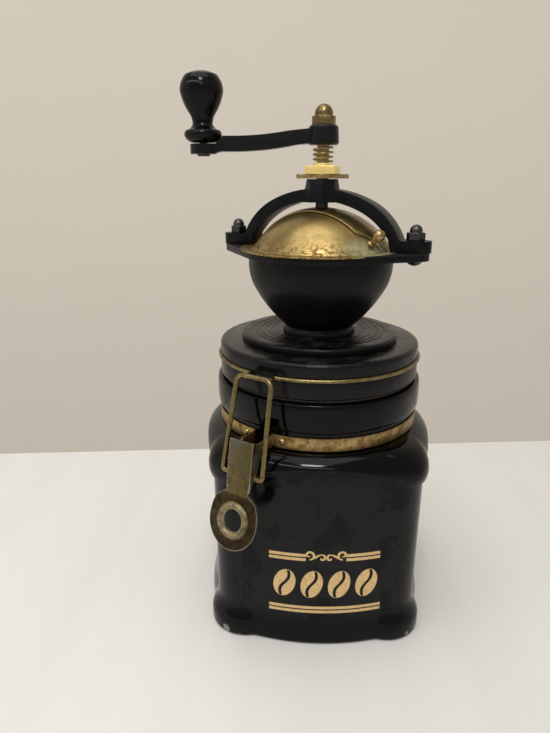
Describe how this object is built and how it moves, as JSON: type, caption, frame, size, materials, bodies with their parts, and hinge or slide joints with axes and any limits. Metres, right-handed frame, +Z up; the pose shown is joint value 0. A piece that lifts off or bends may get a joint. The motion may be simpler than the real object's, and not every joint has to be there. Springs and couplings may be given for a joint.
{
  "type": "hand-cranked coffee grinder",
  "caption": "Cast-iron hopper coffee mill with a domed brass door and a crank, on the clamped wooden lid of a black glazed canister.",
  "frame": {"origin": "on the mill's axis at the table, in the plane of the canister's flat base", "axes": "+Z up along the mill's shaft, -Y out of the canister's front face, +X to the right seen from the front"},
  "size_m": [0.1355, 0.1417, 0.2925],
  "materials": {
    "glazed_stoneware": "opaque black gloss glaze on stoneware",
    "clasp_brass": "tarnished brass-plated sheet and wire",
    "black_wood": "black satin paint, worn at the edges",
    "bare_wood": "bare turned wood",
    "seal_rubber": "brown sealing rubber",
    "black_iron": "black satin enamel on cast iron",
    "raw_iron": "bare cast iron",
    "dark_steel": "dark oiled steel",
    "dark_brass": "antique brass, dark in the hollows",
    "dome_brass": "aged brass with brown spots and some green",
    "bright_brass": "brass rubbed bright",
    "gloss_wood": "black gloss lacquer"
  },
  "bodies": {
    "canister_body": {"canister": "glazed_stoneware", "neck_strap": "clasp_brass", "strap_rivets": "clasp_brass", "hinge_bracket": "clasp_brass", "hinge_rivets": "clasp_brass"},
    "lid": {"bail_wire": "clasp_brass", "lid_board": "black_wood", "lid_plug": "bare_wood", "lid_gasket": "seal_rubber", "turned_disc": "black_wood", "mill_screws": "dark_steel", "bearing_spider": "raw_iron", "hopper_bowl": "black_iron", "burr_ring": "raw_iron", "dome_cover": "dome_brass", "bridge": "black_iron", "boss_bush": "dome_brass", "bridge_bolts": "dark_steel", "bridge_nuts": "dark_brass"},
    "spindle": {"drive_shaft": "dark_steel", "burr_cone": "raw_iron", "crank_arm": "black_iron", "spring": "dark_brass", "crank_nut": "dark_brass", "knob_pin": "dark_steel"},
    "crank_knob": {"knob": "gloss_wood"},
    "adjuster": {"adjusting_nut": "bright_brass", "locking_plate": "black_iron"},
    "door": {"dome_door": "dome_brass", "door_knob": "dome_brass"},
    "lever": {"clasp_lever": "clasp_brass", "lever_pin": "clasp_brass"},
    "loop": {"clasp_loop": "clasp_brass"}
  },
  "joints": [
    {"name": "lid_open", "type": "hinge", "parent": "canister_body", "child": "lid", "pos_m": [0.03219, 0.05357, 0.126], "axis": [-0.8572, 0.515, 0], "range_deg": [0, 95]},
    {"name": "crank_spin", "type": "hinge", "parent": "lid", "child": "spindle", "pos_m": [0, 0, 0.23], "axis": [0, 0, 1], "continuous": true},
    {"name": "knob_spin", "type": "hinge", "parent": "spindle", "child": "crank_knob", "pos_m": [-0.0615, 0, 0.27], "axis": [0, 0, 1], "continuous": true},
    {"name": "adjuster_turn", "type": "hinge", "parent": "spindle", "child": "adjuster", "pos_m": [0, 0, 0.245], "axis": [0, 0, 1], "range_deg": [-360, 360]},
    {"name": "door_turn", "type": "hinge", "parent": "lid", "child": "door", "pos_m": [0, 0, 0.22], "axis": [0, 0, 1], "range_deg": [-140, 0]},
    {"name": "clasp_swing", "type": "hinge", "parent": "canister_body", "child": "lever", "pos_m": [-0.03348, -0.05572, 0.1155], "axis": [-0.8572, 0.515, 0], "range_deg": [0, 120]},
    {"name": "loop_swing", "type": "hinge", "parent": "lever", "child": "loop", "pos_m": [-0.03791, -0.06309, 0.1028], "axis": [-0.8572, 0.515, 0], "range_deg": [-129.6, 0]}
  ],
  "couplings": [
    {"joint": "loop_swing", "follows": "clasp_swing", "ratio": -1.08}
  ]
}
